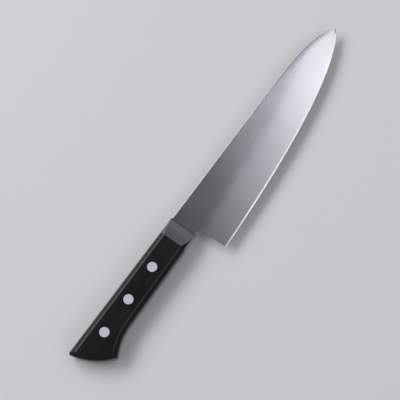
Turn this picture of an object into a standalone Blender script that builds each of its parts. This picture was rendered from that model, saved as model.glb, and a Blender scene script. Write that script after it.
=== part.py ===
"""Gyuto: a Japanese chef's knife with a Western handle, lying on its left side.

Metres, +Z up. +X runs from the butt to the tip, and +Y towards the spine. The straight
stretch of the spine lies along X, and the knife rests on the left scale's flat at Z = 0.

Outlines are worked out as (x, depth): x is measured from the heel towards the tip, and
depth from the spine line towards the edge.
"""
import math

import bmesh
import bpy
from mathutils import Vector
from mathutils.geometry import interpolate_bezier

# Blade outline
BLADE_LENGTH = 0.1800  # heel to tip
HEEL_DEPTH = 0.0423  # spine line to edge at the heel
TIP_DEPTH = 0.0113  # spine line to the point
EDGE_HEEL_PULL = 0.1150  # how far the nearly flat heel end shapes the edge
EDGE_HEEL_SLOPE = 0.040  # rise of the edge per length, at the heel
EDGE_TIP_PULL = 0.0150
EDGE_TIP_SLOPE = 0.85
SPINE_DROP_LENGTH = 0.0800  # the last stretch of the spine, which curves down to the point
SPINE_FLAT_PULL = 0.0470
SPINE_TIP_PULL = 0.0140
SPINE_TIP_SLOPE = 0.75
HEEL_LEAN = 0.0005  # the heel's rear line leans forward by this much
CHOIL_RADIUS = 0.0042
NECK_DEPTH = 0.0200
NECK_LENGTH = 0.0060  # bolster front to heel

# Blade thickness
STOCK_THICKNESS = 0.0022  # sheet that the tang keeps
SPINE_THICKNESS = 0.0020  # spine at the neck, once ground
SPINE_THICKNESS_AT_DROP = 0.0016  # spine where it starts to curve down
SPINE_THICKNESS_AT_TIP = 0.0005
SHOULDER_THICKNESS = 0.0003  # just above the edge bevel
EDGE_BEVEL_WIDTH = 0.0009

# Handle
HANDLE_LENGTH = 0.1180  # bolster front to the butt's spine corner
HANDLE_THICKNESS = 0.0165
HANDLE_FRONT_DEPTH = 0.0207  # spine to belly at the bolster front
BELLY_SLOPE = 0.0170  # the belly line falls away by this much per length, towards the butt
CHAMFER = 0.0031  # broad flat along the spine, the butt and the belly
BEAK_SETBACK = 0.0179  # the butt's spine corner stands behind its lower corner by this much
BEAK_DEPTH = 0.0286
BUTT_RADIUS = 0.0435
FLARE_RADIUS = 0.0437  # hollow that runs from the belly line out to the butt's lower corner

# Bolster
BOLSTER_LENGTH = 0.0135
BOLSTER_FRONT_THICKNESS = 0.0110
BOLSTER_FRONT_ROUND = 0.0008

# Rivets
RIVET_SPACING = 0.0275
FRONT_RIVET_SETBACK = 0.0233  # bolster seam to the front rivet
FRONT_RIVET_DEPTH = 0.0104
REAR_RIVET_DEPTH = 0.0112
RIVET_HEAD_DIAMETER = 0.0070
RIVET_HEAD_HEIGHT = 0.0020
RIVET_TUBE_DIAMETER = 0.0050
RIVET_PIN_DIAMETER = 0.0026
RIVET_TUBE_WALL = 0.0009
RIVET_PIN_END_GAP = 0.0020  # air left between the pin's end and the tube's closed end

# Clearance kept between pieces that touch on the real knife
FIT = 0.0003

# Finishes
BLADE_COLOUR = (0.62, 0.62, 0.64)
BLADE_ROUGHNESS = 0.28
BOLSTER_COLOUR = (0.50, 0.50, 0.51)
BOLSTER_ROUGHNESS = 0.32
RIVET_COLOUR = (0.74, 0.74, 0.77)
RIVET_ROUGHNESS = 0.25
WOOD_COLOUR = (0.016, 0.016, 0.017)
WOOD_ROUGHNESS = 0.42

# Smoothness
EDGE_STEPS = 26
SPINE_SAMPLES = 200
BUTT_STEPS = 12
FLARE_STEPS = 10
CHOIL_STEPS = 6
BOLSTER_STEPS = 10
ROUND_STEPS = 4
RIVET_SIDES = 32
SHADE_ANGLE = math.radians(25)
MERGE_DISTANCE = 1e-6

# Places that follow from the sizes
BOLSTER_FRONT_X = -NECK_LENGTH
SEAM_X = BOLSTER_FRONT_X - BOLSTER_LENGTH
BUTT_X = BOLSTER_FRONT_X - HANDLE_LENGTH
MIDDLE_X = (BLADE_LENGTH + BUTT_X) / 2
SPINE_Y = HEEL_DEPTH / 2
BLADE_PLANE_Z = HANDLE_THICKNESS / 2
HALF_HANDLE = HANDLE_THICKNESS / 2
HALF_STOCK = STOCK_THICKNESS / 2
INNER_FACE = HALF_STOCK + FIT
WALL_TOP = HALF_HANDLE - CHAMFER


def place(x, depth, height):
    """World point of an outline point, height above the blade's middle plane."""
    return Vector((x - MIDDLE_X, SPINE_Y - depth, BLADE_PLANE_Z + height))


def clear_scene():
    """Remove every object, so that the script can be run again."""
    for thing in list(bpy.data.objects):
        bpy.data.objects.remove(thing, do_unlink=True)


def metal(name, colour, roughness):
    """Bare metal finish."""
    material = bpy.data.materials.new(name)
    material.use_nodes = True
    shader = material.node_tree.nodes["Principled BSDF"]
    shader.inputs["Base Color"].default_value = (*colour, 1.0)
    shader.inputs["Metallic"].default_value = 1.0
    shader.inputs["Roughness"].default_value = roughness
    return material


def laminate(name, colour, roughness):
    """Resin-filled laminated wood."""
    material = metal(name, colour, roughness)
    material.node_tree.nodes["Principled BSDF"].inputs["Metallic"].default_value = 0.0
    return material


def add_piece(name, mesh_builder, material, parent):
    """Turn a finished bmesh into one named object with one material."""
    bmesh.ops.remove_doubles(mesh_builder, verts=mesh_builder.verts, dist=MERGE_DISTANCE)
    bmesh.ops.recalc_face_normals(mesh_builder, faces=mesh_builder.faces)
    mesh = bpy.data.meshes.new(name)
    mesh_builder.to_mesh(mesh)
    mesh_builder.free()
    mesh.shade_smooth()
    mesh.set_sharp_from_angle(angle=SHADE_ANGLE)
    piece = bpy.data.objects.new(name, mesh)
    bpy.context.scene.collection.objects.link(piece)
    if material is not None:
        piece.data.materials.append(material)
    piece.parent = parent
    return piece


def edge_curve():
    """Cutting edge from the heel to the point."""
    heel = Vector((0.0, HEEL_DEPTH))
    heel_pull = Vector((EDGE_HEEL_PULL, HEEL_DEPTH - EDGE_HEEL_SLOPE * EDGE_HEEL_PULL))
    tip = Vector((BLADE_LENGTH, TIP_DEPTH))
    tip_pull = Vector((BLADE_LENGTH - EDGE_TIP_PULL, TIP_DEPTH + EDGE_TIP_SLOPE * EDGE_TIP_PULL))
    return interpolate_bezier(heel, heel_pull, tip_pull, tip, EDGE_STEPS + 1)


def spine_curve():
    """The curved last stretch of the spine, from its straight part to the point."""
    start = Vector((BLADE_LENGTH - SPINE_DROP_LENGTH, 0.0))
    start_pull = start + Vector((SPINE_FLAT_PULL, 0.0))
    tip = Vector((BLADE_LENGTH, TIP_DEPTH))
    tip_pull = tip - Vector((SPINE_TIP_PULL, SPINE_TIP_SLOPE * SPINE_TIP_PULL))
    return interpolate_bezier(start, start_pull, tip_pull, tip, SPINE_SAMPLES + 1)


def spine_depth(x, curve):
    """Depth of the spine below its straight line at x."""
    if x <= curve[0].x:
        return 0.0
    for before, after in zip(curve, curve[1:]):
        if x <= after.x:
            share = (x - before.x) / (after.x - before.x)
            return before.y + share * (after.y - before.y)
    return curve[-1].y


def belly_depth(x):
    """Depth of the handle's straight belly line at x."""
    return HANDLE_FRONT_DEPTH + BELLY_SLOPE * (BOLSTER_FRONT_X - x)


def arc(centre, radius, start_angle, end_angle, steps):
    """Points of an arc in the outline's (x, depth) plane."""
    points = []
    for step in range(steps + 1):
        angle = start_angle + (end_angle - start_angle) * step / steps
        points.append(centre + radius * Vector((math.cos(angle), math.sin(angle))))
    return points


def butt_arc():
    """The butt's bulging end, from its spine corner to its lower corner."""
    top = Vector((BUTT_X, 0.0))
    beak = Vector((BUTT_X + BEAK_SETBACK, BEAK_DEPTH))
    chord = beak - top
    half_chord = chord.length / 2
    inward = Vector((chord.y, -chord.x)).normalized()
    centre = (top + beak) / 2 + inward * math.sqrt(BUTT_RADIUS**2 - half_chord**2)
    start_angle = math.atan2(top.y - centre.y, top.x - centre.x) % math.tau
    end_angle = math.atan2(beak.y - centre.y, beak.x - centre.x) % math.tau
    return arc(centre, BUTT_RADIUS, start_angle, end_angle, BUTT_STEPS)


def flare_arc():
    """The hollow from the butt's lower corner to where it meets the belly line."""
    beak = Vector((BUTT_X + BEAK_SETBACK, BEAK_DEPTH))
    along = Vector((1.0, -BELLY_SLOPE)).normalized()
    outward = Vector((-along.y, along.x))
    on_belly = Vector((BOLSTER_FRONT_X, HANDLE_FRONT_DEPTH))
    drop = (beak - on_belly).dot(outward)
    run = math.sqrt(2 * FLARE_RADIUS * drop - drop**2)
    foot = beak - outward * drop
    tangent_point = foot + along * run
    centre = tangent_point + outward * FLARE_RADIUS
    start_angle = math.atan2(beak.y - centre.y, beak.x - centre.x)
    end_angle = math.atan2(tangent_point.y - centre.y, tangent_point.x - centre.x)
    return arc(centre, FLARE_RADIUS, start_angle, end_angle, FLARE_STEPS)


def grip_outline():
    """Butt, flare and belly, from the butt's spine corner to the start of the straight belly."""
    return butt_arc() + flare_arc()[1:]


def choil_arc():
    """Small round corner between the neck and the heel's rear line."""
    centre = Vector((-HEEL_LEAN - CHOIL_RADIUS, NECK_DEPTH + CHOIL_RADIUS))
    return arc(centre, CHOIL_RADIUS, -math.pi / 2, 0.0, CHOIL_STEPS)


def spine_half_thickness(x):
    """Half the spine's thickness, tapering slowly to the drop and faster to the point."""
    drop_x = BLADE_LENGTH - SPINE_DROP_LENGTH
    if x <= drop_x:
        share = (x - BOLSTER_FRONT_X) / (drop_x - BOLSTER_FRONT_X)
        return (SPINE_THICKNESS + share * (SPINE_THICKNESS_AT_DROP - SPINE_THICKNESS)) / 2
    share = (x - drop_x) / SPINE_DROP_LENGTH
    return (SPINE_THICKNESS_AT_DROP + share * (SPINE_THICKNESS_AT_TIP - SPINE_THICKNESS_AT_DROP)) / 2


def side_half_thickness(x, depth):
    """Half thickness of the ground side: a straight wedge from the spine to the bevel's shoulder."""
    share = depth / (HEEL_DEPTH - EDGE_BEVEL_WIDTH)
    at_spine = spine_half_thickness(x)
    return at_spine + share * (SHOULDER_THICKNESS / 2 - at_spine)


def tang_ring(point):
    """Section of the flat tang, from the spine down to one point of the handle's outline."""
    x, lower = point
    depths = (0.0, lower / 2, lower)
    right = [place(x, depth, HALF_STOCK) for depth in depths]
    left = [place(x, depth, -HALF_STOCK) for depth in reversed(depths)]
    return right + left


def neck_ring(point):
    """Section of the ground neck, whose belly is left square."""
    x, lower = point
    depths = (0.0, lower / 2, lower)
    halves = [side_half_thickness(x, depth) for depth in depths]
    right = [place(x, depth, half) for depth, half in zip(depths, halves)]
    left = [place(x, depth, -half) for depth, half in zip(depths[::-1], halves[::-1])]
    return right + left


def blade_ring(point, top):
    """Section of the blade: spine, bevel shoulder and sharp edge."""
    x, lower = point
    bevel = min(EDGE_BEVEL_WIDTH, (lower - top) / 2)
    shoulder = lower - bevel
    at_spine = spine_half_thickness(x)
    at_shoulder = min(SHOULDER_THICKNESS / 2, at_spine)
    right = [place(x, top, at_spine), place(x, shoulder, at_shoulder), place(x, lower, 0.0)]
    left = [place(x, lower, 0.0), place(x, shoulder, -at_shoulder), place(x, top, -at_spine)]
    return right + left


def skin(rings):
    """One closed body through rings that hold the same number of points."""
    builder = bmesh.new()
    rows = [[builder.verts.new(point) for point in ring] for ring in rings]
    for before, after in zip(rows, rows[1:]):
        for this, following in zip(range(len(before)), [*range(1, len(before)), 0]):
            builder.faces.new((before[this], before[following], after[following], after[this]))
    return builder


def make_blade(material, parent):
    """Blade and full tang, one piece of steel."""
    rings = [tang_ring(point) for point in grip_outline()]
    step_x = BOLSTER_FRONT_X - 2 * FIT
    rings.append(tang_ring((step_x, belly_depth(step_x))))
    rings.append(neck_ring((BOLSTER_FRONT_X - FIT, NECK_DEPTH)))
    rings += [neck_ring(point) for point in choil_arc()]
    spine = spine_curve()
    edge = edge_curve()
    rings += [blade_ring(point, spine_depth(point.x, spine)) for point in edge[:-1]]
    tip = edge[-1]
    rings.append([place(tip.x, tip.y, 0.0)] * len(rings[0]))
    return add_piece("blade", skin(rings), material, parent)


def make_scale(name, side, material, parent):
    """One handle scale: outer flat, chamfered along the spine, butt and belly, open at the seam."""
    rear_of_seam = SEAM_X - FIT
    outline = [Vector((rear_of_seam, 0.0))] + grip_outline()
    outline.append(Vector((rear_of_seam, belly_depth(rear_of_seam))))
    builder = bmesh.new()
    floor = [builder.verts.new(place(x, depth, side * INNER_FACE)) for x, depth in outline]
    base = builder.faces.new(floor)
    grown = bmesh.ops.extrude_face_region(builder, geom=[base])["geom"]
    upper = [part for part in grown if isinstance(part, bmesh.types.BMVert)]
    lift = Vector((0.0, 0.0, side * (HALF_HANDLE - INNER_FACE)))
    bmesh.ops.translate(builder, verts=upper, vec=lift)
    seam_x = place(rear_of_seam, 0.0, 0.0).x
    rim = []
    for edge in builder.edges:
        on_top = all(vert in upper for vert in edge.verts)
        on_seam = all(abs(vert.co.x - seam_x) < MERGE_DISTANCE for vert in edge.verts)
        if on_top and not on_seam:
            rim.append(edge)
    bmesh.ops.bevel(builder, geom=rim, offset=CHAMFER, offset_type="OFFSET", segments=1,
                    profile=0.5, affect="EDGES", clamp_overlap=True, material=-1)
    return add_piece(name, builder, material, parent)


def bolster_profile():
    """Side view of a bolster half as (x, height): it drops in a curve to a low rounded front."""
    drop = (HANDLE_THICKNESS - BOLSTER_FRONT_THICKNESS) / 2
    top_end = BOLSTER_FRONT_X - BOLSTER_FRONT_ROUND
    points = [(BOLSTER_FRONT_X, INNER_FACE), (SEAM_X, INNER_FACE)]
    for step in range(BOLSTER_STEPS + 1):
        share = step / BOLSTER_STEPS
        height = HALF_HANDLE - drop * math.sin(share * math.pi / 2)
        points.append((SEAM_X + share * (top_end - SEAM_X), height))
    round_centre = BOLSTER_FRONT_THICKNESS / 2 - BOLSTER_FRONT_ROUND
    for step in range(1, ROUND_STEPS + 1):
        angle = math.pi / 2 * (1 - step / ROUND_STEPS)
        x = top_end + BOLSTER_FRONT_ROUND * math.cos(angle)
        points.append((x, round_centre + BOLSTER_FRONT_ROUND * math.sin(angle)))
    return points


def slice_off(builder, point, outward):
    """Cut away what lies beyond a plane, and close the cut."""
    everything = builder.verts[:] + builder.edges[:] + builder.faces[:]
    cut = bmesh.ops.bisect_plane(builder, geom=everything, dist=MERGE_DISTANCE, plane_co=point,
                                 plane_no=outward, clear_outer=True)["geom_cut"]
    rim = [part for part in cut if isinstance(part, bmesh.types.BMEdge)]
    bmesh.ops.contextual_create(builder, geom=rim)


def make_bolster(name, side, material, parent):
    """One bolster half, welded to the neck: its two chamfers carry on the scale's."""
    builder = bmesh.new()
    profile = [builder.verts.new(place(x, 0.0, side * height)) for x, height in bolster_profile()]
    spine_face = builder.faces.new(profile)
    grown = bmesh.ops.extrude_face_region(builder, geom=[spine_face])["geom"]
    far = [part for part in grown if isinstance(part, bmesh.types.BMVert)]
    bmesh.ops.translate(builder, verts=far, vec=Vector((0.0, -2 * HANDLE_FRONT_DEPTH, 0.0)))
    belly_out = Vector((-BELLY_SLOPE, -1.0, 0.0)).normalized()
    spine_out = Vector((0.0, 1.0, 0.0))
    face_out = Vector((0.0, 0.0, side))
    slice_off(builder, place(BOLSTER_FRONT_X, HANDLE_FRONT_DEPTH, 0.0), belly_out)
    slice_off(builder, place(SEAM_X, 0.0, side * WALL_TOP), spine_out + face_out)
    wall_top = place(BOLSTER_FRONT_X, HANDLE_FRONT_DEPTH, side * WALL_TOP)
    slice_off(builder, wall_top, belly_out + face_out)
    return add_piece(name, builder, material, parent)


def turned(profile):
    """Body turned about its own Z axis from a profile of (radius, height), axis to axis."""
    builder = bmesh.new()
    verts = [builder.verts.new((radius, 0.0, height)) for radius, height in profile]
    edges = [builder.edges.new(pair) for pair in zip(verts, verts[1:])]
    bmesh.ops.spin(builder, geom=verts + edges, cent=(0.0, 0.0, 0.0), axis=(0.0, 0.0, 1.0),
                   angle=math.tau, steps=RIVET_SIDES, use_merge=True)
    return builder


def make_rivet_tube(name, material, parent):
    """Upper half of a cutler's rivet: a head with a tube that the pin is driven into."""
    head = RIVET_HEAD_DIAMETER / 2
    tube = RIVET_TUBE_DIAMETER / 2
    bore = tube - RIVET_TUBE_WALL
    under_head = HALF_HANDLE - RIVET_HEAD_HEIGHT
    mouth = -under_head + FIT
    profile = [(0.0, HALF_HANDLE), (head, HALF_HANDLE), (head, under_head), (tube, under_head),
               (tube, mouth), (bore, mouth), (bore, under_head), (0.0, under_head)]
    return add_piece(name, turned(profile), material, parent)


def make_rivet_pin(name, material, parent):
    """Lower half of a cutler's rivet: a head with the solid pin."""
    head = RIVET_HEAD_DIAMETER / 2
    pin = RIVET_PIN_DIAMETER / 2
    under_head = HALF_HANDLE - RIVET_HEAD_HEIGHT
    pin_end = under_head - RIVET_PIN_END_GAP
    profile = [(0.0, pin_end), (pin, pin_end), (pin, -under_head), (head, -under_head),
               (head, -HALF_HANDLE), (0.0, -HALF_HANDLE)]
    return add_piece(name, turned(profile), material, parent)


def make_rivet_hole(name, parent):
    """Drill for one rivet through both scales and the tang, with a seat for each head."""
    seat = RIVET_HEAD_DIAMETER / 2 + FIT
    hole = RIVET_TUBE_DIAMETER / 2 + FIT
    shelf = HALF_HANDLE - RIVET_HEAD_HEIGHT - FIT
    beyond = HALF_HANDLE + RIVET_HEAD_HEIGHT
    profile = [(0.0, beyond), (seat, beyond), (seat, shelf), (hole, shelf),
               (hole, -shelf), (seat, -shelf), (seat, -beyond), (0.0, -beyond)]
    drill = add_piece(name, turned(profile), None, parent)
    drill.hide_render = True
    drill.display_type = "WIRE"
    return drill


def rivet_places():
    """Name and centre of each rivet, front to rear."""
    places = []
    for index, name in enumerate(("front", "middle", "rear")):
        x = SEAM_X - FRONT_RIVET_SETBACK - index * RIVET_SPACING
        depth = FRONT_RIVET_DEPTH + index * (REAR_RIVET_DEPTH - FRONT_RIVET_DEPTH) / 2
        places.append((name, place(x, depth, 0.0)))
    return places


def bore_for(drill, pieces):
    """Cut one drill's hole in each piece."""
    for piece in pieces:
        cut = piece.modifiers.new("rivet hole", "BOOLEAN")
        cut.operation = "DIFFERENCE"
        cut.solver = "EXACT"
        cut.object = drill


def build_knife():
    """Make every piece of the knife."""
    clear_scene()
    knife = bpy.data.objects.new("gyuto", None)
    bpy.context.scene.collection.objects.link(knife)
    blade_steel = metal("satin blade steel", BLADE_COLOUR, BLADE_ROUGHNESS)
    bolster_steel = metal("satin bolster steel", BOLSTER_COLOUR, BOLSTER_ROUGHNESS)
    rivet_steel = metal("rivet steel", RIVET_COLOUR, RIVET_ROUGHNESS)
    black_wood = laminate("black laminated wood", WOOD_COLOUR, WOOD_ROUGHNESS)
    blade = make_blade(blade_steel, knife)
    right_scale = make_scale("scale_right", 1, black_wood, knife)
    left_scale = make_scale("scale_left", -1, black_wood, knife)
    make_bolster("bolster_right", 1, bolster_steel, knife)
    make_bolster("bolster_left", -1, bolster_steel, knife)
    for name, centre in rivet_places():
        make_rivet_tube(f"rivet_{name}_tube", rivet_steel, knife).location = centre
        make_rivet_pin(f"rivet_{name}_pin", rivet_steel, knife).location = centre
        drill = make_rivet_hole(f"rivet_{name}_drill", knife)
        drill.location = centre
        bore_for(drill, (blade, right_scale, left_scale))


build_knife()
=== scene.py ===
import math

import bmesh
import bpy
from mathutils import Matrix, Vector
from mathutils.geometry import interpolate_bezier


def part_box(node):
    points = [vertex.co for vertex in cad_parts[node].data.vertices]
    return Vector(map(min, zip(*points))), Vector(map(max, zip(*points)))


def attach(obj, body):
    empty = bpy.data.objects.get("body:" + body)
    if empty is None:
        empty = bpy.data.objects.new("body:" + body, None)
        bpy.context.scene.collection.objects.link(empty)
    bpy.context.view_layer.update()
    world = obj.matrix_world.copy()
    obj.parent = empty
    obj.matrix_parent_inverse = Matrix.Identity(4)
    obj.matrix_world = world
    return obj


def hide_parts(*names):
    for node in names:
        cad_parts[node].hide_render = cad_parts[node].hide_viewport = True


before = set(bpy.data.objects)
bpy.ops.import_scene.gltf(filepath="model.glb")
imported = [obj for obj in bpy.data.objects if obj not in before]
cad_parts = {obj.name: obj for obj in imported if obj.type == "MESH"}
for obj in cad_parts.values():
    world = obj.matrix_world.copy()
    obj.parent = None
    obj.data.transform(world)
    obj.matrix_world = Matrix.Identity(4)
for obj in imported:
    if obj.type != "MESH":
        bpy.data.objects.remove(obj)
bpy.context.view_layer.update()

# Blade. Stainless steel, ground on both sides: nearly flat below the spine, then a soft
# grind line and a thinner lower part, down to a narrow bright bevel at the edge. Behind the
# heel it narrows to a neck, which meets the tang just inside the bolster.
steel_low, steel_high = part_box("blade")
bolster_low, bolster_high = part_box("bolster_right")
MIDDLE_Z = (steel_low.z + steel_high.z) / 2
SPINE_Y = steel_high.y
BLADE_LENGTH = 0.1800
HEEL_X = steel_high.x - BLADE_LENGTH
HEEL_DEPTH = steel_high.y - steel_low.y
BOLSTER_FRONT = bolster_high.x - HEEL_X
TIP_DEPTH = 0.0113
EDGE_HEEL_PULL = 0.1150
EDGE_HEEL_SLOPE = 0.040
EDGE_TIP_PULL = 0.0150
EDGE_TIP_SLOPE = 0.85
SPINE_DROP_LENGTH = 0.0800
SPINE_FLAT_PULL = 0.0470
SPINE_TIP_PULL = 0.0140
SPINE_TIP_SLOPE = 0.75
HEEL_LEAN = 0.0005
CHOIL_RADIUS = 0.0042
NECK_DEPTH = 0.0200
TANG_SETBACK = 0.0001  # from the bolster's front to the tang
NECK_END = BOLSTER_FRONT - TANG_SETBACK
NECK_END_DROP = 0.00002  # the neck's end lies this far under the tang's top

SPINE_THICKNESS = 0.0020
SPINE_THICKNESS_AT_DROP = 0.0016
SPINE_THICKNESS_AT_TIP = 0.0005
SHOULDER_THICKNESS = 0.0003
EDGE_BEVEL_WIDTH = 0.0009
EDGE_BEVEL_PARTS = 6  # near the point the bevel is one of this many parts of the depth
SPINE_EASE = 0.00035  # radius of the spine's rubbed corners
SPINE_EASE_PARTS = 4  # near the point it is one of this many parts of the depth
HEEL_EASE = 0.00020
HEEL_EASE_SEGMENTS = 2
UPPER_SLOPE = 0.0050  # fall of each side per depth, between the spine and the grind line
GRIND_LINE_AT_HEEL = 0.53  # place of the grind line, as a share of the blade's depth
GRIND_LINE_AT_DROP = 0.42
GRIND_LINE_AT_TIP = 0.05
GRIND_LINE_SOFTNESS = 0.0100  # depth over which the upper slope turns into the lower one
ROLL_START = 0.100  # from here to the point each side rolls over towards the spine
ROLL_WIDTH = 0.0042
ROLL_DROP = 0.00014

NECK_STEPS = 8
CHOIL_STEPS = 10
HEEL_STEPS = 12
EDGE_STEPS = 180
EASE_ROWS = 5
SIDE_ROWS = 56
MERGE_DISTANCE = 1e-6
SHARP_ANGLE = math.radians(28)  # sharper ridges stay crisp in the shading
SQUARE_ANGLE = math.radians(60)  # and edges sharper than this are square corners


def knife_point(x, depth, height):
    """World point: x from the heel to the tip, depth below the spine line, height off the blade."""
    return Vector((HEEL_X + x, SPINE_Y - depth, MIDDLE_Z + height))


def outline_curve(start, start_pull, end_pull, end, steps):
    """Points of one smooth stretch of outline, as (x, depth)."""
    handles = [Vector(point) for point in (start, start_pull, end_pull, end)]
    return interpolate_bezier(*handles, steps + 1)


drop_x = BLADE_LENGTH - SPINE_DROP_LENGTH
tip = (BLADE_LENGTH, TIP_DEPTH)
spine_line = outline_curve(
    (drop_x, 0.0), (drop_x + SPINE_FLAT_PULL, 0.0),
    (BLADE_LENGTH - SPINE_TIP_PULL, TIP_DEPTH - SPINE_TIP_SLOPE * SPINE_TIP_PULL), tip, 2 * EDGE_STEPS)
edge_line = outline_curve(
    (0.0, HEEL_DEPTH), (EDGE_HEEL_PULL, HEEL_DEPTH - EDGE_HEEL_SLOPE * EDGE_HEEL_PULL),
    (BLADE_LENGTH - EDGE_TIP_PULL, TIP_DEPTH + EDGE_TIP_SLOPE * EDGE_TIP_PULL), tip, EDGE_STEPS)


def between(x, points):
    """Value at x on straight runs between (x, value) points, held level past both ends."""
    if x <= points[0][0]:
        return points[0][1]
    for (x_before, before), (x_after, after) in zip(points, points[1:]):
        if x <= x_after:
            return before + (x - x_before) / (x_after - x_before) * (after - before)
    return points[-1][1]


def rise(value, low, high):
    """0 below low, 1 above high, and a smooth rise between them."""
    share = min(max((value - low) / (high - low), 0.0), 1.0)
    return share * share * (3 - 2 * share)


def rise_sum(value, low, high):
    """Area under the smooth rise, up to value."""
    share = min(max((value - low) / (high - low), 0.0), 1.0)
    return (high - low) * (share**3 - share**4 / 2) + max(0.0, value - high)


def spine_half_thickness(x):
    """Half the spine's thickness, which tapers slowly to the drop and faster to the point."""
    return between(x, ((NECK_END, SPINE_THICKNESS / 2), (drop_x, SPINE_THICKNESS_AT_DROP / 2),
                       (BLADE_LENGTH, SPINE_THICKNESS_AT_TIP / 2)))


def side_height(x, top, shoulder, depth):
    """Half thickness of the blade at a depth, from the spine to the edge bevel's shoulder."""
    half = spine_half_thickness(x)
    at_shoulder = min(SHOULDER_THICKNESS / 2, half)
    reach = shoulder - top
    grind_share = between(x, ((0.0, GRIND_LINE_AT_HEEL), (drop_x, GRIND_LINE_AT_DROP),
                              (BLADE_LENGTH, GRIND_LINE_AT_TIP)))
    line = top + grind_share * reach
    softness = min(GRIND_LINE_SOFTNESS, reach)
    low, high = line - softness / 2, line + softness / 2
    upper_slope = min(UPPER_SLOPE, (half - at_shoulder) / reach)
    left_for_grind = half - at_shoulder - upper_slope * reach
    start = rise_sum(top, low, high)
    ground = left_for_grind * (rise_sum(depth, low, high) - start) / (rise_sum(shoulder, low, high) - start)
    near_spine = max(0.0, 1 - (depth - top) / ROLL_WIDTH)
    roll = ROLL_DROP * rise(x, ROLL_START, BLADE_LENGTH) * half / (SPINE_THICKNESS_AT_DROP / 2)
    return half - upper_slope * (depth - top) - ground - roll * near_spine**2


def section_point(x, top, lower, ground_to, row):
    """Point of the section at x: over the spine's rubbed corner, down the side and to the edge."""
    bevel = min(EDGE_BEVEL_WIDTH, (ground_to - top) / EDGE_BEVEL_PARTS)
    shoulder = ground_to - bevel
    ease = min(SPINE_EASE, spine_half_thickness(x) / 2, (lower - top) / SPINE_EASE_PARTS)
    if row == 0:
        return knife_point(x, top, 0.0)
    if row <= EASE_ROWS:
        angle = math.pi / 2 * (row - 1) / EASE_ROWS
        corner = side_height(x, top, shoulder, top + ease)
        return knife_point(x, top + ease * (1 - math.cos(angle)), corner - ease * (1 - math.sin(angle)))
    if row > EASE_ROWS + SIDE_ROWS + 1:
        return knife_point(x, lower, 0.0)
    share = (row - EASE_ROWS - 1) / SIDE_ROWS
    depth = top + ease + share * (min(shoulder, lower) - top - ease)
    return knife_point(x, depth, side_height(x, top, shoulder, depth))


def blade_stations():
    """(x, spine depth, lower depth, depth that it is ground to) from the neck's end to the point."""
    stations = []
    choil_x = -HEEL_LEAN - CHOIL_RADIUS
    for step in range(NECK_STEPS):
        x = NECK_END + (choil_x - NECK_END) * step / NECK_STEPS
        stations.append((x, NECK_END_DROP if step == 0 else 0.0, NECK_DEPTH, HEEL_DEPTH))
    for step in range(CHOIL_STEPS):
        angle = math.pi / 2 * step / CHOIL_STEPS
        depth = NECK_DEPTH + CHOIL_RADIUS * (1 - math.cos(angle))
        stations.append((choil_x + CHOIL_RADIUS * math.sin(angle), 0.0, depth, HEEL_DEPTH))
    rear_top = NECK_DEPTH + CHOIL_RADIUS
    rear_length = HEEL_DEPTH - EDGE_BEVEL_WIDTH - rear_top
    for step in range(HEEL_STEPS + 1):
        share = step / HEEL_STEPS
        stations.append((-HEEL_LEAN * (1 - share), 0.0, rear_top + share * rear_length, HEEL_DEPTH))
    for point in edge_line:
        stations.append((point.x, between(point.x, spine_line), point.y, point.y))
    return stations


def placed_grid(columns, rows, place):
    """A sheet of columns by rows, each corner put where place says, and the cell of each corner."""
    sheet = bmesh.new()
    bmesh.ops.create_grid(sheet, x_segments=columns, y_segments=rows, size=0.5)
    cells = {}
    for vert in sheet.verts:
        cells[vert] = (round((vert.co.x + 0.5) * columns), round((0.5 - vert.co.y) * rows))
        vert.co = place(*cells[vert])
    return sheet, cells


def rub_round(form, ridges, width, segments):
    """Rub ridges round, over the given width on each side of them."""
    bmesh.ops.bevel(form, geom=ridges, offset=width, offset_type="OFFSET", segments=segments,
                    profile=0.5, affect="EDGES", material=-1)


def finish_mesh(name, form):
    """One named object from a bmesh: doubles merged, faces outwards, smooth but for its ridges."""
    bmesh.ops.remove_doubles(form, verts=form.verts, dist=MERGE_DISTANCE)
    bmesh.ops.dissolve_degenerate(form, dist=MERGE_DISTANCE, edges=form.edges)
    bmesh.ops.recalc_face_normals(form, faces=form.faces)
    if form.calc_volume(signed=True) < 0.0:
        bmesh.ops.reverse_faces(form, faces=form.faces)
    for face in form.faces:
        face.smooth = True
    for edge in form.edges:
        if edge.calc_face_angle(0.0) > SHARP_ANGLE:
            edge.smooth = False
    mesh = bpy.data.meshes.new(name)
    form.to_mesh(mesh)
    form.free()
    piece = bpy.data.objects.new(name, mesh)
    bpy.context.scene.collection.objects.link(piece)
    return piece


def blade_point(column, row):
    """Corner of the blade's side: a station along it, and a row down its section."""
    return section_point(*stations[column], row)


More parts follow.
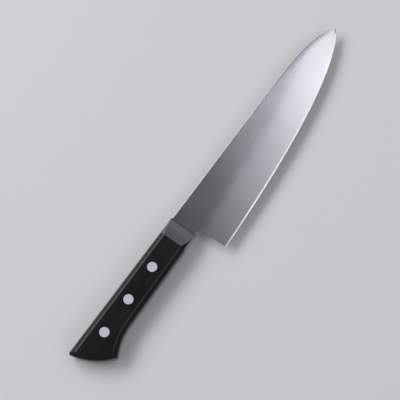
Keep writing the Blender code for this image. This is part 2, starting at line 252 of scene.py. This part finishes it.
stations = blade_stations()
rows = EASE_ROWS + SIDE_ROWS + 2
steel, cells = placed_grid(len(stations) - 1, rows, blade_point)
shoulder_line = set()
for vert, (column, row) in cells.items():
    if row == rows - 1 and stations[column][0] >= 0.0:
        shoulder_line.add(vert)
for edge in steel.edges:
    edge.smooth = not shoulder_line.issuperset(edge.verts)
everything = steel.verts[:] + steel.edges[:] + steel.faces[:]
bmesh.ops.mirror(steel, geom=everything, matrix=Matrix.Translation((0.0, 0.0, -MIDDLE_Z)),
                 merge_dist=MERGE_DISTANCE, axis="Z")
bmesh.ops.remove_doubles(steel, verts=steel.verts, dist=MERGE_DISTANCE)
point_rim = [edge for edge in steel.edges if edge.is_boundary and edge.verts[0].co.x > HEEL_X]
bmesh.ops.holes_fill(steel, edges=point_rim, sides=0)
rear_corners = []
for edge in steel.edges:
    x_middle = (edge.verts[0].co.x + edge.verts[1].co.x) / 2 - HEEL_X
    square = edge.calc_face_angle(0.0) > SQUARE_ANGLE
    off_middle = all(abs(vert.co.z - MIDDLE_Z) > MERGE_DISTANCE for vert in edge.verts)
    if square and off_middle and BOLSTER_FRONT < x_middle < 0.0:
        rear_corners.append(edge)
rub_round(steel, rear_corners, HEEL_EASE, HEEL_EASE_SEGMENTS)

SATIN_SPACING = 0.00016  # from one fine line to the next
SATIN_LENGTH = 0.0090
PATCH_SIZE = 0.0120
FINE_SHARE = 0.5  # the finest lines' share in the pattern; broader ones have the rest
BROAD_SCALE = 0.14  # the broader lines are about seven times as large
DRIFT_LOW = 0.7  # about the least that lines and patches add up to
DRIFT_HIGH = 1.3  # and about the most


def new_socket(group, name, kind, is_output=False, default=None):
    """One named input or output of a shader group."""
    way = "OUTPUT" if is_output else "INPUT"
    socket = group.interface.new_socket(name=name, in_out=way, socket_type=kind)
    if default is not None:
        socket.default_value = default


def add_node(tree, kind, **settings):
    """One shader node with its settings."""
    node = tree.nodes.new(kind)
    for name, value in settings.items():
        setattr(node, name, value)
    return node


def add_noise(tree, vector, scale, detail):
    """Soft noise, from 0 to 1, on a vector."""
    noise = add_node(tree, "ShaderNodeTexNoise")
    noise.inputs["Scale"].default_value = scale
    noise.inputs["Detail"].default_value = detail
    tree.links.new(vector, noise.inputs["Vector"])
    return noise.outputs["Fac"]


def add_range(tree, drift, low, high):
    """The drift of lines and patches, carried over to a range from low to high."""
    change = add_node(tree, "ShaderNodeMapRange")
    change.inputs["From Min"].default_value = DRIFT_LOW
    change.inputs["From Max"].default_value = DRIFT_HIGH
    change.inputs["To Min"].default_value = low
    change.inputs["To Max"].default_value = high
    tree.links.new(drift, change.inputs["Value"])
    return change.outputs["Result"]


def build_fine_lines():
    """Group: fine lines along X of its vector, some deeper than others, and broad soft patches."""
    group = bpy.data.node_groups.new("fine lines", "ShaderNodeTree")
    new_socket(group, "Vector", "NodeSocketVector")
    new_socket(group, "Spacing", "NodeSocketFloat", default=SATIN_SPACING)
    new_socket(group, "Length", "NodeSocketFloat", default=SATIN_LENGTH)
    new_socket(group, "Patch Size", "NodeSocketFloat", default=PATCH_SIZE)
    new_socket(group, "Lines", "NodeSocketFloat", is_output=True)
    new_socket(group, "Patches", "NodeSocketFloat", is_output=True)
    source = add_node(group, "NodeGroupInput")
    result = add_node(group, "NodeGroupOutput")
    steps = add_node(group, "ShaderNodeCombineXYZ")
    for axis, name in (("X", "Length"), ("Y", "Spacing"), ("Z", "Spacing")):
        group.links.new(source.outputs[name], steps.inputs[axis])
    stretched = add_node(group, "ShaderNodeVectorMath", operation="DIVIDE")
    group.links.new(source.outputs["Vector"], stretched.inputs[0])
    group.links.new(steps.outputs["Vector"], stretched.inputs[1])
    fine = add_noise(group, stretched.outputs["Vector"], scale=1.0, detail=3.0)
    broad = add_noise(group, stretched.outputs["Vector"], scale=BROAD_SCALE, detail=1.0)
    lines = add_node(group, "ShaderNodeMath", operation="MULTIPLY_ADD")
    lines.inputs[1].default_value = FINE_SHARE
    broad_part = add_node(group, "ShaderNodeMath", operation="MULTIPLY")
    broad_part.inputs[1].default_value = 1 - FINE_SHARE
    group.links.new(broad, broad_part.inputs[0])
    group.links.new(fine, lines.inputs[0])
    group.links.new(broad_part.outputs["Value"], lines.inputs[2])
    shrunk = add_node(group, "ShaderNodeVectorMath", operation="DIVIDE")
    group.links.new(source.outputs["Vector"], shrunk.inputs[0])
    group.links.new(source.outputs["Patch Size"], shrunk.inputs[1])
    patches = add_noise(group, shrunk.outputs["Vector"], scale=1.0, detail=2.0)
    group.links.new(lines.outputs["Value"], result.inputs["Lines"])
    group.links.new(patches, result.inputs["Patches"])
    return group


fine_lines = build_fine_lines()


def surface(name, metallic, dark, light, roughness, spacing, length, patch_size, turn, line_depth):
    """A finish with fine lines: its colour and roughness drift a little over lines and patches."""
    finish = bpy.data.materials.new(name)
    finish.use_nodes = True
    tree = finish.node_tree
    shader = tree.nodes["Principled BSDF"]
    shader.inputs["Metallic"].default_value = metallic
    place = add_node(tree, "ShaderNodeTexCoord")
    turned_place = add_node(tree, "ShaderNodeMapping")
    turned_place.inputs["Rotation"].default_value = (0.0, 0.0, turn)
    tree.links.new(place.outputs["Object"], turned_place.inputs["Vector"])
    lines = add_node(tree, "ShaderNodeGroup", node_tree=fine_lines)
    for socket, value in (("Spacing", spacing), ("Length", length), ("Patch Size", patch_size)):
        lines.inputs[socket].default_value = value
    tree.links.new(turned_place.outputs["Vector"], lines.inputs["Vector"])
    drift = add_node(tree, "ShaderNodeMath", operation="ADD")
    tree.links.new(lines.outputs["Lines"], drift.inputs[0])
    tree.links.new(lines.outputs["Patches"], drift.inputs[1])
    colour = add_node(tree, "ShaderNodeMix", data_type="RGBA")
    tree.links.new(add_range(tree, drift.outputs["Value"], 0.0, 1.0), colour.inputs["Factor"])
    colour.inputs["A"].default_value = (*dark, 1.0)
    colour.inputs["B"].default_value = (*light, 1.0)
    tree.links.new(colour.outputs["Result"], shader.inputs["Base Color"])
    rough = add_range(tree, drift.outputs["Value"], *roughness)
    tree.links.new(rough, shader.inputs["Roughness"])
    bump = add_node(tree, "ShaderNodeBump")
    bump.inputs["Distance"].default_value = line_depth
    tree.links.new(lines.outputs["Lines"], bump.inputs["Height"])
    tree.links.new(bump.outputs["Normal"], shader.inputs["Normal"])
    return finish


blade_steel = surface(
    "satin_blade_steel", metallic=1.0, dark=(0.60, 0.60, 0.645), light=(0.63, 0.63, 0.68),
    roughness=(0.20, 0.22), spacing=SATIN_SPACING, length=SATIN_LENGTH, patch_size=PATCH_SIZE,
    turn=math.pi / 2, line_depth=0.000001)

# Tang. The rear half of the same piece of steel, left at the full thickness of the sheet and
# cut to the handle's outline, so that its edge shows as a bright strip between the scales.
# Its front face makes way for a collar of triangles from its rim to the neck's.
scale_low, scale_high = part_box("scale_right")
HALF_STOCK = (steel_high.z - steel_low.z) / 2
SEAM = bolster_low.x - HEEL_X
BUTT = scale_low.x - HEEL_X
HANDLE_FRONT_DEPTH = 0.0207
BELLY_SLOPE = 0.0170
BEAK_SETBACK = 0.0179
BEAK_DEPTH = 0.0286
BUTT_RADIUS = 0.0435
FLARE_RADIUS = 0.0437
BUTT_CORNER_ROUND = 0.0013  # how far from each corner its rounding starts
BEAK_ROUND = 0.0005
ROUND_PULL = 0.6  # how far a round's curve is pulled towards its corner
BUTT_STEPS = 30
FLARE_STEPS = 20
CORNER_STEPS = 6


def rounded(before, corner, after, steps):
    """Points of a round from before to after, which rubs off the corner between them."""
    start_pull = before.lerp(corner, ROUND_PULL)
    end_pull = after.lerp(corner, ROUND_PULL)
    return outline_curve(before, start_pull, end_pull, after, steps)


def arc(centre, radius, start, end, trims, steps):
    """Points of an arc from start to end, the short way round, cut shorter at both ends."""
    first = math.atan2(start.y - centre.y, start.x - centre.x)
    turn = (math.atan2(end.y - centre.y, end.x - centre.x) - first + math.pi) % math.tau - math.pi
    first += math.copysign(trims[0] / radius, turn)
    turn -= math.copysign(sum(trims) / radius, turn)
    angles = [first + turn * step / steps for step in range(steps + 1)]
    return [centre + radius * Vector((math.cos(angle), math.sin(angle))) for angle in angles]


def circles_meet(centre_a, radius_a, centre_b, radius_b, near):
    """The point where two circles cross, out of the two the one that lies nearer to near."""
    apart = centre_b - centre_a
    along = (apart.length_squared + radius_a**2 - radius_b**2) / (2 * apart.length)
    aside = math.sqrt(radius_a**2 - along**2)
    forward = apart.normalized()
    middle = centre_a + forward * along
    crossings = [middle + Vector((-forward.y, forward.x)) * aside * way for way in (-1, 1)]
    return min(crossings, key=lambda point: (point - near).length)


def belly_depth(x):
    """Depth of the handle's straight belly line."""
    return HANDLE_FRONT_DEPTH + BELLY_SLOPE * (BOLSTER_FRONT - x)


def handle_outline(front, inset):
    """The handle's outline, set in: spine corner, bulging butt, beak, hollow flare, belly, front."""
    top = Vector((BUTT, 0.0))
    beak = Vector((BUTT + BEAK_SETBACK, BEAK_DEPTH))
    chord = beak - top
    inward = Vector((chord.y, -chord.x)).normalized()
    butt_centre = (top + beak) / 2 + inward * math.sqrt(BUTT_RADIUS**2 - chord.length_squared / 4)
    along = Vector((1.0, -BELLY_SLOPE)).normalized()
    outward = Vector((-along.y, along.x))
    drop = (beak - Vector((BOLSTER_FRONT, HANDLE_FRONT_DEPTH))).dot(outward)
    flare_end = beak - outward * drop + along * math.sqrt(2 * FLARE_RADIUS * drop - drop**2)
    flare_centre = flare_end + outward * FLARE_RADIUS
    butt_radius = BUTT_RADIUS - inset
    flare_radius = FLARE_RADIUS + inset
    top = Vector((butt_centre.x - math.sqrt(butt_radius**2 - (inset - butt_centre.y)**2), inset))
    beak = circles_meet(butt_centre, butt_radius, flare_centre, flare_radius, beak)
    butt = arc(butt_centre, butt_radius, top, beak, (BUTT_CORNER_ROUND, BEAK_ROUND), BUTT_STEPS)
    flare_end = flare_centre - outward * flare_radius
    flare = arc(flare_centre, flare_radius, beak, flare_end, (BEAK_ROUND, 0.0), FLARE_STEPS)
    spine_end = top + Vector((BUTT_CORNER_ROUND, 0.0))
    points = rounded(spine_end, top, butt[0], CORNER_STEPS) + butt[1:-1]
    points += rounded(butt[-1], beak, flare[0], CORNER_STEPS) + flare[1:]
    belly_front = belly_depth(front) - inset * math.sqrt(1 + BELLY_SLOPE**2)
    return points + [Vector((front, belly_front)), Vector((front, inset))]


def handle_solid(front, rings):
    """A solid of the handle's outline, through rings of (inset, height)."""
    outlines = [handle_outline(front, inset) for inset, height in rings]

    def ring_point(column, row):
        x, depth = outlines[row][column % len(outlines[row])]
        return knife_point(x, depth, rings[row][1])

    solid = placed_grid(len(outlines[0]), len(rings) - 1, ring_point)[0]
    bmesh.ops.remove_doubles(solid, verts=solid.verts, dist=MERGE_DISTANCE)
    bmesh.ops.holes_fill(solid, edges=[edge for edge in solid.edges if edge.is_boundary], sides=0)
    return solid


tang = handle_solid(NECK_END, ((0.0, -HALF_STOCK), (0.0, HALF_STOCK)))
neck_x = knife_point(NECK_END, 0.0, 0.0).x
front = []
for face in tang.faces:
    if all(abs(vert.co.x - neck_x) < MERGE_DISTANCE for vert in face.verts):
        front.append(face)
bmesh.ops.delete(tang, geom=front, context="FACES_ONLY")
tang_mesh = bpy.data.meshes.new("tang")
tang.to_mesh(tang_mesh)
tang.free()
steel.from_mesh(tang_mesh)
bpy.data.meshes.remove(tang_mesh)
rims = [edge for edge in steel.edges if edge.is_boundary]
bmesh.ops.triangle_fill(steel, edges=rims, use_beauty=True)
blade = finish_mesh("blade_and_tang", steel)
blade.data.materials.append(blade_steel)
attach(blade, "root")
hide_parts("blade")

# Bolster. Two halves of stainless steel, one welded to each side of the neck and ground to
# one shape with the handle: the satin face drops in a curve to a low rounded front, and broad
# polished bevels carry on from those of the scales.
HALF_HANDLE = scale_high.z - MIDDLE_Z
CHAMFER = 0.0031
WALL_TOP = HALF_HANDLE - CHAMFER
JOINT_LINE = 0.00003  # hairline left between pieces that touch
BOLSTER_FRONT_THICKNESS = 0.0110
BOLSTER_FRONT_ROUND = 0.0022
BOLSTER_EASE = 0.00030
BOLSTER_EASE_SEGMENTS = 3
RIDGE_ANGLE = math.radians(20)  # edges sharper than this are ridges
SEAM_REACH = 10 * MERGE_DISTANCE  # an edge within this of the seam lies at it
TANG_REACH = 2 * HALF_STOCK  # an edge within this of the middle lies against the tang
SATIN_FACE_RISE = 0.85  # faces whose normal rises less than this are polished bevels
BOLSTER_STEPS = 22
ROUND_STEPS = 5
WELD_FACE = HALF_STOCK + JOINT_LINE
BLOCK_DEPTH = 2 * HANDLE_FRONT_DEPTH  # the block before it is cut to the belly line
FLAT_WEIGHT = 80  # how far broad faces rule the shading of their corners


def bolster_profile():
    """Side view of a bolster half, as (x, height)."""
    drop = HALF_HANDLE - BOLSTER_FRONT_THICKNESS / 2
    top_end = BOLSTER_FRONT - BOLSTER_FRONT_ROUND
    points = [(BOLSTER_FRONT, WELD_FACE), (SEAM, WELD_FACE)]
    for step in range(BOLSTER_STEPS + 1):
        share = step / BOLSTER_STEPS
        points.append((SEAM + share * (top_end - SEAM), HALF_HANDLE - drop * math.sin(share * math.pi / 2)))
    for step in range(1, ROUND_STEPS + 1):
        angle = math.pi / 2 * (1 - step / ROUND_STEPS)
        height = BOLSTER_FRONT_THICKNESS / 2 - BOLSTER_FRONT_ROUND * (1 - math.sin(angle))
        points.append((top_end + BOLSTER_FRONT_ROUND * math.cos(angle), height))
    return points


def slice_off(block, point, outward):
    """Grind away what lies beyond a plane, and close the cut."""
    whole = block.verts[:] + block.edges[:] + block.faces[:]
    cut = bmesh.ops.bisect_plane(block, geom=whole, dist=MERGE_DISTANCE, plane_co=point,
                                 plane_no=outward, clear_outer=True)["geom_cut"]
    bmesh.ops.contextual_create(block, geom=[part for part in cut if isinstance(part, bmesh.types.BMEdge)])


def outer_ridges(block):
    """The block's ridges, but for those at the seam and those against the tang."""
    seam_x = knife_point(SEAM, 0.0, 0.0).x
    picked = []
    for edge in block.edges:
        at_seam = all(abs(vert.co.x - seam_x) < SEAM_REACH for vert in edge.verts)
        inside = all(abs(vert.co.z - MIDDLE_Z) < TANG_REACH for vert in edge.verts)
        if edge.calc_face_angle(0.0) > RIDGE_ANGLE and not at_seam and not inside:
            picked.append(edge)
    return picked


def flatten(piece):
    """Keep broad faces flat in the shading, beside the rounds that border them."""
    weights = piece.modifiers.new("flat faces", "WEIGHTED_NORMAL")
    weights.keep_sharp = True
    weights.weight = FLAT_WEIGHT


bolster_steel = surface(
    "satin_bolster_steel", metallic=1.0, dark=(0.172, 0.172, 0.181), light=(0.198, 0.198, 0.207),
    roughness=(0.38, 0.44), spacing=0.00014, length=0.0040, patch_size=0.0035,
    turn=math.pi / 2, line_depth=0.000001)
bevel_steel = surface(
    "polished_bolster_steel", metallic=1.0, dark=(0.20, 0.20, 0.21), light=(0.23, 0.23, 0.24),
    roughness=(0.10, 0.14), spacing=0.00014, length=0.0040, patch_size=0.0035,
    turn=0.0, line_depth=0.0000005)

for side_name, side in (("right", 1), ("left", -1)):
    block = bmesh.new()
    rim = [block.verts.new(knife_point(x, 0.0, side * height)) for x, height in bolster_profile()]
    grown = bmesh.ops.extrude_face_region(block, geom=[block.faces.new(rim)])["geom"]
    far = [part for part in grown if isinstance(part, bmesh.types.BMVert)]
    bmesh.ops.translate(block, verts=far, vec=Vector((0.0, -BLOCK_DEPTH, 0.0)))
    belly_out = Vector((-BELLY_SLOPE, -1.0, 0.0)).normalized()
    spine_out = Vector((0.0, 1.0, 0.0))
    face_out = Vector((0.0, 0.0, side))
    slice_off(block, knife_point(BOLSTER_FRONT, HANDLE_FRONT_DEPTH, 0.0), belly_out)
    slice_off(block, knife_point(SEAM, 0.0, side * WALL_TOP), spine_out + face_out)
    slice_off(block, knife_point(BOLSTER_FRONT, HANDLE_FRONT_DEPTH, side * WALL_TOP), belly_out + face_out)
    rub_round(block, outer_ridges(block), BOLSTER_EASE, BOLSTER_EASE_SEGMENTS)
    bolster = finish_mesh(f"bolster_half_{side_name}", block)
    bolster.data.materials.append(bolster_steel)
    bolster.data.materials.append(bevel_steel)
    for face in bolster.data.polygons:
        face.material_index = int(abs(face.normal.z) < SATIN_FACE_RISE)
    flatten(bolster)
    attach(bolster, "root")
    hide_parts(f"bolster_{side_name}")

# Scales. Two slabs of black laminated wood, hardened with resin, glued and riveted to the
# tang. Each is bevelled along the spine, the butt and the belly, and polished to a dull shine.
SCALE_EASE = 0.00085  # how far from each ridge its rounding starts
SCALE_STEPS = 4
RIVET_HEAD_HEIGHT = 0.0020
RIVET_TUBE_DIAMETER = 0.0050
HOLE_RADIUS = RIVET_TUBE_DIAMETER / 2 + JOINT_LINE
SEAT_FLOOR = HALF_HANDLE - RIVET_HEAD_HEIGHT - JOINT_LINE
DRILL_TOP = HALF_HANDLE + CHAMFER  # well clear of the scale's face
RIVET_SIDES = 64
RIVET_NAMES = ("front", "middle", "rear")


def turned(profile, centre):
    """Solid turned about an upright axis through centre, from its profile of (radius, height)."""
    lathe = bmesh.new()
    verts = [lathe.verts.new((radius, 0.0, height)) for radius, height in profile]
    edges = [lathe.edges.new(pair) for pair in zip(verts, verts[1:])]
    bmesh.ops.spin(lathe, geom=verts + edges, cent=(0.0, 0.0, 0.0), axis=(0.0, 0.0, 1.0),
                   angle=math.tau, steps=RIVET_SIDES, use_merge=True)
    bmesh.ops.translate(lathe, verts=lathe.verts, vec=centre)
    return lathe


def rivet_place(name):
    """Centre of a rivet on the middle plane, and the radius of its heads."""
    low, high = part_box(f"rivet_{name}_tube")
    return Vector(((low.x + high.x) / 2, (low.y + high.y) / 2, MIDDLE_Z)), (high.x - low.x) / 2


def drill_out(piece, drill):
    """Cut the drill's shape out of the piece, and remove the drill."""
    step = piece.modifiers.new("drilled", "BOOLEAN")
    step.operation = "DIFFERENCE"
    step.solver = "EXACT"
    step.object = drill
    finished = bpy.data.meshes.new_from_object(piece.evaluated_get(bpy.context.evaluated_depsgraph_get()))
    piece.modifiers.clear()
    piece.data = finished
    bpy.data.objects.remove(drill)


black_wood = surface(
    "black_laminated_wood", metallic=0.0, dark=(0.0040, 0.0040, 0.0044), light=(0.0058, 0.0058, 0.0063),
    roughness=(0.27, 0.33), spacing=0.00030, length=0.0140, patch_size=0.0150,
    turn=0.0, line_depth=0.000004)

wall_edge = Vector((0.0, WALL_TOP))
face_edge = Vector((CHAMFER, HALF_HANDLE))
down_bevel = Vector((SCALE_EASE, SCALE_EASE)) * math.sqrt(0.5)
below_wall_edge = wall_edge - Vector((0.0, SCALE_EASE))
past_face_edge = face_edge + Vector((SCALE_EASE, 0.0))
scale_section = [Vector((0.0, WELD_FACE))]
scale_section += rounded(below_wall_edge, wall_edge, wall_edge + down_bevel, SCALE_STEPS)
scale_section += rounded(face_edge - down_bevel, face_edge, past_face_edge, SCALE_STEPS)

for side_name, side in (("right", 1), ("left", -1)):
    slab = handle_solid(SEAM - JOINT_LINE, [(inset, side * height) for inset, height in scale_section])
    scale = finish_mesh(f"scale_{side_name}_side", slab)
    for name in RIVET_NAMES:
        centre, head_radius = rivet_place(name)
        seat = head_radius + JOINT_LINE
        upper = [(0.0, DRILL_TOP), (seat, DRILL_TOP), (seat, SEAT_FLOOR), (HOLE_RADIUS, SEAT_FLOOR)]
        lower = [(radius, -height) for radius, height in reversed(upper)]
        drill_out(scale, finish_mesh("drill", turned(upper + lower, centre)))
    scale.data.set_sharp_from_angle(angle=SHARP_ANGLE)
    scale.data.materials.clear()
    scale.data.materials.append(black_wood)
    flatten(scale)
    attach(scale, "root")
    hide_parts(f"scale_{side_name}")

# Rivets. Three two-part rivets of stainless steel: a head with a tube on the right side, and
# a head with a pin that is driven into the tube on the left, both ground flush with the scale.
RIVET_PIN_DIAMETER = 0.0026
RIVET_TUBE_WALL = 0.0009
RIVET_PIN_END_GAP = 0.0020
RIVET_EASE = 0.00008
rivet_steel = surface(
    "rivet_steel", metallic=1.0, dark=(0.70, 0.70, 0.77), light=(0.77, 0.77, 0.845),
    roughness=(0.75, 0.85), spacing=0.00012, length=0.0030, patch_size=0.0020,
    turn=0.0, line_depth=0.000001)

tube = RIVET_TUBE_DIAMETER / 2
bore = tube - RIVET_TUBE_WALL
pin = RIVET_PIN_DIAMETER / 2
under_head = HALF_HANDLE - RIVET_HEAD_HEIGHT
pin_end = under_head - RIVET_PIN_END_GAP
pin_shoulder = -under_head - JOINT_LINE
for name in RIVET_NAMES:
    centre, head = rivet_place(name)
    flat = head - RIVET_EASE
    tube_half = turned([(0.0, HALF_HANDLE), (flat, HALF_HANDLE), (head, HALF_HANDLE - RIVET_EASE),
                        (head, under_head), (tube, under_head), (tube, -under_head), (bore, -under_head),
                        (bore, under_head), (0.0, under_head)], centre)
    pin_half = turned([(0.0, pin_end), (pin, pin_end), (pin, pin_shoulder), (head, pin_shoulder),
                       (head, RIVET_EASE - HALF_HANDLE), (flat, -HALF_HANDLE), (0.0, -HALF_HANDLE)], centre)
    for part, half in (("tube", tube_half), ("pin", pin_half)):
        rivet = finish_mesh(f"rivet_{name}_{part}_half", half)
        rivet.data.materials.append(rivet_steel)
        flatten(rivet)
        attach(rivet, "root")
        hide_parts(f"rivet_{name}_{part}")

# Floor: a plain pale sheet under the knife, in place of the table. It is only there for the
# pictures and isn't part of the object.
FLOOR_SIZE = 3.0
FLOOR_COLOUR = (0.78, 0.78, 0.79)
FLOOR_ROUGHNESS = 0.7
sheet = bmesh.new()
bmesh.ops.create_grid(sheet, x_segments=1, y_segments=1, size=FLOOR_SIZE)
floor = finish_mesh("floor", sheet)
floor_paint = bpy.data.materials.new("pale floor")
floor_paint.use_nodes = True
floor_shader = floor_paint.node_tree.nodes["Principled BSDF"]
floor_shader.inputs["Base Color"].default_value = (*FLOOR_COLOUR, 1.0)
floor_shader.inputs["Roughness"].default_value = FLOOR_ROUGHNESS
floor.data.materials.append(floor_paint)

# Light: a room that is dim low down and at its ceiling, with pale walls between. Soft boxes
# hang overhead on both sides and past the tip, where blade and edge mirror them, and a window
# and a low box stand beyond the spine.
DIM_ROOM = (0.040, 0.042, 0.055)
PALE_WALL = (0.40, 0.40, 0.41)
WALL_HEIGHTS = (12, 30, 46, 54)  # degrees up: the walls' light starts, is full, is still full, ends
world = bpy.data.worlds.new("room")
bpy.context.scene.world = world
world.use_nodes = True
room = world.node_tree
direction = add_node(room, "ShaderNodeTexCoord")
upward = add_node(room, "ShaderNodeSeparateXYZ")
walls = add_node(room, "ShaderNodeValToRGB")
while len(walls.color_ramp.elements) < len(WALL_HEIGHTS):
    walls.color_ramp.elements.new(0.5)
wall_colours = (DIM_ROOM, PALE_WALL, PALE_WALL, DIM_ROOM)
for stop, height, colour in zip(walls.color_ramp.elements, WALL_HEIGHTS, wall_colours):
    stop.position = math.sin(math.radians(height))
    stop.color = (*colour, 1.0)
room.links.new(direction.outputs["Generated"], upward.inputs["Vector"])
room.links.new(upward.outputs["Z"], walls.inputs["Fac"])
room.links.new(walls.outputs["Color"], room.nodes["Background"].inputs["Color"])


def softbox(name, toward, distance, width, height, radiance, turn=0.0):
    """A flat lamp of even radiance that faces the knife from the given direction."""
    data = bpy.data.lights.new(name, "AREA")
    data.shape = "RECTANGLE"
    data.size = width
    data.size_y = height
    data.energy = radiance * math.pi * width * height
    lamp = bpy.data.objects.new(name, data)
    bpy.context.scene.collection.objects.link(lamp)
    direction = Vector(toward).normalized()
    lamp.location = Vector((0.0, 0.0, MIDDLE_Z)) + direction * distance
    lamp.rotation_mode = "QUATERNION"
    facing = direction.to_track_quat("Z", "Y")
    lamp.rotation_quaternion = Matrix.Rotation(turn, 3, direction).to_quaternion() @ facing


def compass(azimuth, elevation):
    """Direction from its angle round the knife, from +X towards +Y, and its height, in degrees."""
    turn, lift = math.radians(azimuth), math.radians(elevation)
    return math.cos(turn) * math.cos(lift), math.sin(turn) * math.cos(lift), math.sin(lift)


softbox("tip_box", toward=(0.3521, -0.0953, 0.9311), distance=1.2, width=0.705, height=0.084,
        radiance=3.45, turn=-0.355)
softbox("blade_box", toward=(0.2660, -0.0308, 0.9635), distance=1.2, width=0.705, height=0.189,
        radiance=0.57, turn=-0.512)
softbox("edge_box", toward=(0.544, -0.172, 0.822), distance=1.25, width=0.600, height=0.070,
        radiance=4.0, turn=-1.051)
for azimuth, radiance in ((90, 1.6), (135, 1.0), (270, 1.15)):
    softbox(f"overhead_{azimuth}", toward=compass(azimuth, 50), distance=2.2, width=1.5, height=0.9,
            radiance=radiance)
softbox("window", toward=compass(95, 42), distance=2.6, width=2.5, height=1.2, radiance=2.9)
softbox("low_box", toward=compass(82, 8), distance=2.2, width=2.0, height=0.36, radiance=1.2)

# Camera: looks down on the knife at 76 degrees, with the butt at the lower left of the frame
# and the point at the upper right.
FOCAL_LENGTH = 99.0
SENSOR_WIDTH = 36.0
CAMERA_DISTANCE = 0.7753
CAMERA_ELEVATION = math.radians(76)
PICTURE_UP = math.radians(36.255)
target = Vector((-0.01155, 0.01347, MIDDLE_Z))
level_back = -Vector((math.cos(PICTURE_UP), math.sin(PICTURE_UP), 0.0))
back = level_back * math.cos(CAMERA_ELEVATION) + Vector((0.0, 0.0, math.sin(CAMERA_ELEVATION)))
camera_data = bpy.data.cameras.new("camera")
camera_data.lens = FOCAL_LENGTH
camera_data.sensor_width = SENSOR_WIDTH
camera = bpy.data.objects.new("camera", camera_data)
bpy.context.scene.collection.objects.link(camera)
camera.location = target + back * CAMERA_DISTANCE
camera.rotation_mode = "QUATERNION"
camera.rotation_quaternion = (-back).to_track_quat("-Z", "Y")
bpy.context.scene.camera = camera
bpy.context.scene.view_settings.view_transform = "Standard"
